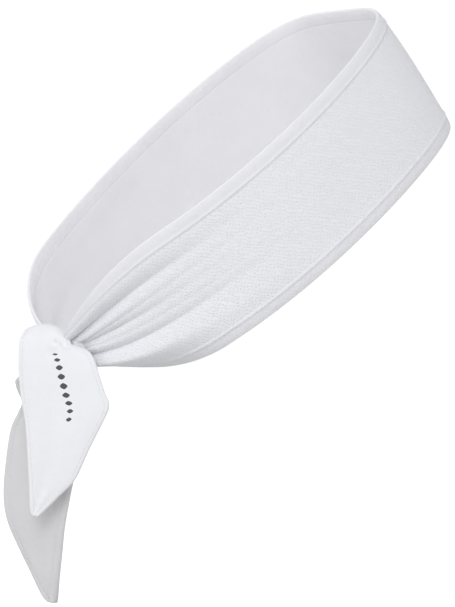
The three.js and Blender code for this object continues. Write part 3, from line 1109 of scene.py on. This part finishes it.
@dataclass(frozen=True)
class MeshKnit:
    """Bird's-eye mesh: staggered rows of small oval dimples in a knit of fine loops."""

    name: str = "white_mesh_knit"
    light: Colour = (0.812, 0.815, 0.852, 1)
    dark: Colour = (0.745, 0.75, 0.79, 1)
    pitch_along: float = 2.4
    pitch_across: float = 1.15
    dimple_along: float = 0.62
    dimple_across: float = 0.40
    loop_along: float = 0.6
    loop_across: float = 0.575
    pulled_along: float = 4.2
    pulled_across: float = 2.4
    depth: float = 0.26 * MM

    def material(self) -> bpy.types.Material:
        """Builds the finish. A dimple is 1 - d^2, where d is the distance from its middle as a share
        of its oval, and each second row is moved along by half a pitch. Each dimple is also painted
        darker, as painted shade in its hole."""
        shader = Shader(self.name)
        along, across = shader.flat_cloth()
        uneven = shader.noise(260.0)
        along = along + (uneven - 0.5) * self.pulled_along
        across = across + (shader.noise(190.0, 1.0) - 0.5) * self.pulled_across
        row = across / self.pitch_across
        odd = row.math("FLOOR").math("FLOORED_MODULO", 2.0)
        column = along / self.pitch_along + odd * 0.5
        x = (column.math("FRACT") - 0.5) * (self.pitch_along / self.dimple_along)
        y = (row.math("FRACT") - 0.5) * (self.pitch_across / self.dimple_across)
        inside = (1 - (x * x + y * y)).math("MAXIMUM", 0.0)
        loops = (along * (2 * math.pi / self.loop_along)).math("SINE")
        loops = loops * (across * (2 * math.pi / self.loop_across)).math("SINE")
        cloudy = shader.noise(60.0)
        height = 0.6 - inside * 0.6 + loops * 0.06 + cloudy * 0.5 + uneven * 0.9
        # painted shade: the dimple mask darkens the colour in the holes; the two noises add random tone
        tone_and_painted_shade = inside * 0.46 + (cloudy - 0.5) * 0.4 + (uneven - 0.5) * 0.5
        colour = shader.mix(tone_and_painted_shade.math("MAXIMUM", 0.0), self.light, self.dark)
        return shader.finish(colour, 0.78 + inside * 0.12, height, self.depth, sheen=0.25)


@dataclass(frozen=True)
class Jersey:
    """Smooth jersey: fine wales along the cloth, with faint cross courses and soft unevenness."""

    name: str = "white_jersey"
    light: Colour = (0.84, 0.84, 0.868, 1)
    dark: Colour = (0.77, 0.77, 0.80, 1)
    wale: float = 0.62
    course: float = 0.48
    depth: float = 0.12 * MM
    unevenness: float = 1.4
    sheen: float = 0.3
    turned_at: float = 0.0
    turned_light: Colour = (0.84, 0.84, 0.868, 1)

    def material(self) -> bpy.types.Material:
        """Builds the finish. Wales and courses are sines of the place on the flat cloth, and where
        it has a turned part that begins at turned_at, that part takes its own lighter colour: painted
        light on one cloth, lifting its half inside the loop to the lining's tone."""
        shader = Shader(self.name)
        along, across = shader.flat_cloth()
        wales, courses = across.wave(self.wale), along.wave(self.course)
        cloudy = shader.noise(45.0, 3.0)
        knit = wales * 0.6 + wales * courses * 0.4
        height = knit * 0.5 + cloudy * 0.5 + shader.noise(300.0) * self.unevenness
        # painted shade: (1 - knit) darkens the grooves between the wales; the noise adds random tone
        tone_and_painted_shade = (cloudy - 0.35) * 0.8 + (1 - knit) * 0.12
        light = self.light
        if self.turned_at:
            # painted light: the turned part of the same cloth is made lighter
            turned = (across - self.turned_at).held()
            light = shader.mix(turned, self.light, self.turned_light)
        colour = shader.mix(tone_and_painted_shade.math("MAXIMUM", 0.0), light, self.dark)
        return shader.finish(colour, 0.72 + cloudy * 0.16, height, self.depth, self.sheen)


@dataclass(frozen=True)
class Thread:
    """Twisted polyester thread: slanting plies round the stitch."""

    name: str = "white_thread"
    light: Colour = (0.80, 0.80, 0.83, 1)
    dark: Colour = (0.66, 0.66, 0.70, 1)
    ply: float = 0.55
    slant: float = 0.8
    depth: float = 0.06 * MM

    def material(self) -> bpy.types.Material:
        """Builds the finish. The plies are a sine of the place along plus the place round, and the colour
        is painted darker between them, as painted shade in the grooves.
        """
        shader = Shader(self.name)
        along, across = shader.flat_cloth()
        plies = (along + across * self.slant).wave(self.ply)
        # painted shade: the colour runs from dark in the grooves between the plies to light on their
        # crests
        colour = shader.mix(plies, self.dark, self.light)
        return shader.finish(colour, 0.5 + plies * 0.15, plies, self.depth, sheen=0.15)


@dataclass(frozen=True)
class Ink:
    """Matt printed ink on knit: dark grey, a little broken up by the cloth under it."""

    name: str = "grey_print"
    light: Colour = (0.105, 0.105, 0.115, 1)
    dark: Colour = (0.055, 0.055, 0.06, 1)
    wale: float = 0.62
    depth: float = 0.05 * MM

    def material(self) -> bpy.types.Material:
        """Builds the finish from the cloth's wales and noise."""
        shader = Shader(self.name)
        _, across = shader.flat_cloth()
        wales = across.wave(self.wale)
        cloudy = shader.noise(900.0)
        share = wales * 0.4 + cloudy * 0.6
        colour = shader.mix(share, self.dark, self.light)
        return shader.finish(colour, 0.5 + cloudy * 0.25, share, self.depth, sheen=0.0)


# ------------------------------------------------------------------------------------- the studio


@dataclass
class Studio:
    """A pale floor, white surroundings, one soft key light and the camera.

    The camera stands at the distance, with target as how far it is to the right of the origin and
    above it. The surroundings keep their full strength up to level_rise above the horizon.
    """

    azimuth: float = math.radians(-32)
    distance: float = 1.8
    target: tuple[float, float] = (-2.65 * MM, -49.46 * MM)
    lens: float = 221.25
    floor_drop: float = 0.3
    floor_size: float = 40.0
    horizon: float = 1.04
    dome: float = 0.90
    dim_side: tuple[float, float, float] = (0.82, 0.0, 0.57)
    dimming: float = 0.57
    level_rise: float = 0.14
    level_blend: float = 4.0
    floor_tone: float = 0.70
    floor_glow: float = 0.7
    glow_from: float = 1.5
    glow_over: float = 2.0
    key_power: float = 16.0
    key_size: float = 1.2
    key_turn: float = math.radians(-14)
    key_rise: float = math.radians(30)
    key_distance: float = 2.2

    def axes(self) -> tuple[Vector, Vector]:
        """The direction from the object back to the camera, and the camera's right."""
        c, s = math.cos(self.azimuth), math.sin(self.azimuth)
        return Vector((s, -c, 0)), Vector((c, s, 0))

    def aimed(self, name: str, data: bpy.types.ID, place: Vector, away: Vector) -> bpy.types.Object:
        """A camera or light at a place, whose back points away from what it looks at."""
        made = linked(name, data)
        made.location = place
        made.rotation_mode = "QUATERNION"
        made.rotation_quaternion = away.to_track_quat("Z", "Y")
        return made

    def build_camera(self) -> None:
        """A level camera, a little below and beside the middle of the loop."""
        back, right = self.axes()
        data = bpy.data.cameras.new("camera")
        data.lens = self.lens
        data.sensor_width = 36.0
        data.clip_start, data.clip_end = 0.1, 100.0
        place = back * self.distance + right * self.target[0] + Vector((0, 0, self.target[1]))
        bpy.context.scene.camera = self.aimed("camera", data, place, back)

    def build_light(self) -> None:
        """White surroundings, dimmer overhead than at the horizon, and a soft key from above."""
        world = bpy.data.worlds.new("surroundings")
        world.use_nodes = True
        nodes = Nodes(world.node_tree)
        background = next(n for n in world.node_tree.nodes if n.type == "BACKGROUND")
        background.inputs["Color"].default_value = (1, 1, 1, 1)
        direction = nodes.node("ShaderNodeTexCoord", {}, {}, output="Generated")
        height = nodes.node("ShaderNodeSeparateXYZ", {}, [direction], output="Z")
        above = ((height.math("ABSOLUTE") - self.level_rise) * self.level_blend).held()
        dot_product = {"operation": "DOT_PRODUCT"}
        pair = [direction, self.dim_side]
        ahead = nodes.node("ShaderNodeVectorMath", dot_product, pair, output="Value")
        dimmer = above * (self.horizon - self.dome + ahead.math("MAXIMUM", 0.0) * self.dimming)
        nodes.feed(background.inputs["Strength"], self.horizon - dimmer)
        bpy.context.scene.world = world
        bpy.context.scene.view_settings.view_transform = "Standard"
        turn = self.azimuth + self.key_turn
        flat = math.cos(self.key_rise)
        towards = Vector((math.sin(turn) * flat, -math.cos(turn) * flat, math.sin(self.key_rise)))
        data = bpy.data.lights.new("key", "AREA")
        data.energy = self.key_power
        data.size = self.key_size
        self.aimed("key", data, towards * self.key_distance, towards)

    def build_floor(self) -> None:
        """A wide pale floor well below the object, which is lit up to white far off."""
        half = self.floor_size / 2
        corners = [(-half, -half), (half, -half), (half, half), (-half, half)]
        mesh = bpy.data.meshes.new("floor")
        mesh.from_pydata([(x, y, CAD_BOX[0].z - self.floor_drop) for x, y in corners], [], [(0, 1, 2, 3)])
        floor = linked("floor", mesh)
        shader = Shader("pale_floor")
        place = shader.node("ShaderNodeTexCoord", {}, {}, output="Object")
        distance = shader.node("ShaderNodeVectorMath", {"operation": "LENGTH"}, [place], output="Value")
        far = ((distance - self.glow_from) / self.glow_over).held()
        glow = shader.mix(far, (0, 0, 0, 1), (1, 1, 1, 1))
        shader.set({"Emission Color": glow, "Emission Strength": self.floor_glow})
        shader.set({"Base Color": (*[self.floor_tone] * 3, 1), "Roughness": 0.9})
        mesh.materials.append(shader.material)

    def build(self) -> None:
        """Builds the whole studio."""
        self.build_camera()
        self.build_light()
        self.build_floor()


# ------------------------------------------------------------------------------- the whole object

FRONT_TAIL_ROWS = (
    (-8.0, 1.0, -1.0, -1.0, 1.0, -1.0, 0.0),
    (-14.0, 3.2, 5.0, 0.5, 3.5, 4.0, 1.5),
    (-18.0, 7.0, 7.9, 2.2, 8.0, 6.2, 2.8),
    (-19.8, 11.5, 4.5, 4.4, 12.0, 3.8, 2.0),
    (-20.0, 13.5, 0.5, 6.4, 13.5, 0.6, 0.8),
    (-19.9, 14.5, -4.0, 12.6, 13.2, -1.0, 0.3),
    (-19.9, 15.0, -9.0, 16.4, 14.0, -4.8, 0.0),
    (-19.6, 15.0, -16.0, 19.5, 15.0, -12.5, 0.0),
    (-18.7, 15.1, -24.0, 22.3, 15.2, -20.6, 0.0),
    (-17.4, 15.2, -31.0, 24.6, 15.4, -27.4, 0.0),
    (-16.4, 15.2, -38.0, 21.2, 15.4, -35.6, 0.0),
    (-15.6, 15.1, -50.0, 15.2, 15.2, -47.0, 0.0),
    (-15.0, 14.9, -62.0, 8.0, 15.0, -61.8, 0.0),
    (-14.6, 14.8, -70.0, 0.3, 14.8, -69.7, 0.0),
    (-14.3, 14.7, -76.0, -6.7, 14.7, -76.5, 0.0),
    (-13.1, 14.7, -79.6, -10.6, 14.7, -79.9, 0.0),
)

REAR_TAIL_ROWS = (
    (-6.0, 1.0, -2.0, 2.0, 1.0, -2.0, 0.0),
    (-14.0, 2.5, -9.0, 5.0, 3.0, -8.0, 0.0),
    (-24.3, 2.0, -14.5, 6.5, 4.5, -14.0, 0.0),
    (-25.6, 1.0, -18.5, 8.3, 5.5, -20.0, 0.0),
    (-23.3, -1.0, -26.0, 9.0, 6.5, -27.0, 0.0),
    (-25.7, -3.0, -31.0, 8.9, 7.0, -34.0, 0.0),
    (-30.1, -4.5, -39.8, 8.2, 7.0, -44.0, 0.0),
    (-33.0, -5.5, -57.0, 6.0, 6.5, -58.0, 0.0),
    (-34.0, -6.0, -71.5, 2.8, 5.5, -72.0, 0.0),
    (-32.2, -6.3, -83.0, -0.1, 4.0, -85.0, 0.0),
    (-27.2, -6.5, -94.3, -2.0, 2.2, -97.0, 0.0),
    (-20.8, -6.0, -106.0, -3.9, 0.5, -109.0, 0.0),
    (-14.5, -4.8, -117.0, -5.4, -1.5, -118.3, 0.0),
    (-10.4, -4.0, -121.2, -6.3, -2.5, -121.7, 0.0),
)


@dataclass
class Headband:
    """The whole headband: its sub-assemblies, their finishes and what they ride on.

    The front tail's places lift_from and lift_to, and the rear tail's sway_from and sway_to, are
    distances out from the knot and up from its middle, or up alone.
    """

    facing: float = math.radians(-45)
    lift_from: tuple[float, float] = (7.5 * MM, 9.0 * MM)
    lift_to: tuple[float, float] = (14.0 * MM, 3.0 * MM)
    sway_from: float = -5 * MM
    sway_to: float = -17 * MM

    def __post_init__(self) -> None:
        """Places the knot where the frame has it and makes the finishes."""
        low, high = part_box("knot_wrap")
        self.knot_centre = np.array((low + high) / 2)
        self.loop = HeadLoop()
        self.mesh_knit = MeshKnit().material()
        self.jersey = Jersey().material()
        tail_cloth = Jersey("white_tail_cloth", (0.80, 0.805, 0.835, 1), (0.74, 0.745, 0.775, 1))
        self.tail_cloth = tail_cloth.material()
        # painted light: the strip's half turned inside the loop is painted lighter than its outer half,
        # up to the lining's tone
        strip_cloth = Jersey(
            "white_strip_cloth",
            light=(0.788, 0.79, 0.822, 1),
            dark=(0.735, 0.737, 0.77, 1),
            depth=0.16 * MM,
            unevenness=2.4,
            turned_at=8.0,
        )
        self.strip_cloth = strip_cloth.material()
        # painted shade: the rear tail's outer cloth is a darker copy of the tail cloth, for the shade
        # that the front tail and the band cast on it
        shaded_tail_copy = Jersey("painted_shade_tail_cloth", (0.65, 0.648, 0.668, 1), (0.57, 0.567, 0.58, 1))
        self.rear_tail_painted_shade = shaded_tail_copy.material()
        self.thread = Thread().material()
        self.ink = Ink().material()

    def dress(
        self, piece: bpy.types.Object, finish: bpy.types.Material, slot: str, *nodes: str
    ) -> bpy.types.Object:
        """Gives a piece its finish and hides the frame's nodes that it stands for.

        Args:
            piece: the piece.
            finish: its material.
            slot: not used.
            nodes: the frame's nodes that the piece replaces.

        Returns:
            The piece.
        """
        piece.data.materials.append(finish)
        if nodes:
            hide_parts(*nodes)
        LOG.info("%s: %d faces", piece.name, len(piece.data.polygons))
        return piece

    def build_band(self) -> None:
        """Builds the band's cloths, edge strips and stitches."""
        band = Band(self.loop)
        girth = self.loop.girth - 2 * band.into_knot
        panel = self.dress(band.panel(), self.mesh_knit, "mesh_knit", "band_outer_panel")
        lining = self.dress(band.lining(), self.jersey, "jersey", "band_lining")
        pieces = [panel, lining]
        for side in Side:
            edge = side.name.lower()
            strip = self.dress(band.strip(side), self.strip_cloth, "binding", f"{edge}_edge_binding")
            row = self.dress(band.strip_stitches(side), self.thread, "thread", f"{edge}_edge_stitching")
            pieces += [strip, row]
        for piece in pieces:
            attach(piece, Body.BAND.value)
        flat = (2 * band.half_height, girth)

    def build_knot(self) -> None:
        """Builds the knot's turn, the bunch inside it and the two turned seams."""
        knot = Knot(self.loop, self.knot_centre)
        pieces = [
            self.dress(knot.turn(), self.tail_cloth, "tail_cloth", "knot_wrap"),
            self.dress(knot.bunch(), self.strip_cloth, "tail_cloth", "knot_core"),
            self.dress(knot.join_seam("right_turned_seam", -1), self.thread, "thread", "right_join_seam"),
            self.dress(knot.join_seam("left_turned_seam", 1), self.thread, "thread", "left_join_seam"),
        ]
        for piece in pieces:
            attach(piece, Body.BAND.value)

    def tail_point(self, out: float, up: float) -> tuple[float, ...]:
        """A point of the tails' middle plane, this far out from the knot and above it."""
        c, s = math.cos(self.facing), math.sin(self.facing)
        return tuple(self.knot_centre + np.array([s * out, -c * out, up]))

    def build_tail(
        self, tail: Tail, outside: bpy.types.Material, body: Body, start: tuple, end: tuple
    ) -> None:
        """Builds a tail's two cloths and its stitching.

        Args:
            tail: the tail.
            outside: the finish of its outer cloth.
            body: not used.
            start: not used.
            end: not used.
        """
        face = self.dress(
            tail.cloth(f"{tail.name}_outer_cloth", 1), outside, "tail_cloth", f"{tail.name}_face"
        )
        back = self.dress(
            tail.cloth(f"{tail.name}_inner_cloth", -1), self.tail_cloth, "tail_cloth", f"{tail.name}_back"
        )
        row = self.dress(tail.hem_stitches(), self.thread, "thread", f"{tail.name}_stitching")
        for piece in (face, back, row):
            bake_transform(piece)
        cut, area = tail.cut()

    def build_tails(self) -> None:
        """Builds both tails and the printed mark."""
        front = Tail(
            "front_tail",
            self.knot_centre,
            self.facing,
            FRONT_TAIL_ROWS,
            hem_width=2.2 * MM,
            seam_dip=0.05 * MM,
            dents=((-1.8, 2.4, 1.3, 1.5), (0.6, 1.0, 1.5, 1.3), (-4.0, -3.0, 0.5, 2.6)),
            waves=((0.55, 0.8, 0.5, 0.6), (0.22, 2.2, 0.9, 2.0)),
        )
        rear = Tail(
            "rear_tail",
            self.knot_centre,
            self.facing,
            REAR_TAIL_ROWS,
            waves=((1.5, 0.6, 0.45, 3.3), (0.4, 1.7, 1.0, 0.4)),
        )
        lift = (self.tail_point(*self.lift_from), self.tail_point(*self.lift_to))
        self.build_tail(front, self.tail_cloth, Body.FRONT_TAIL, *lift)
        mark = self.dress(PrintedMark(front).build(), self.ink, "print", "front_tail_mark")
        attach(mark, Body.FRONT_TAIL.value)
        sway = (self.tail_point(0, self.sway_from), self.tail_point(0, self.sway_to))
        # the rear tail's outer cloth carries painted shade
        self.build_tail(rear, self.rear_tail_painted_shade, Body.REAR_TAIL, *sway)


def main() -> None:
    """Builds the studio and the headband, piece by piece."""
    logging.basicConfig(level=logging.INFO, format="%(name)s %(message)s")
    Studio().build()
    headband = Headband()
    headband.build_knot()
    headband.build_band()
    headband.build_tails()


if __name__ == "__main__":
    main()
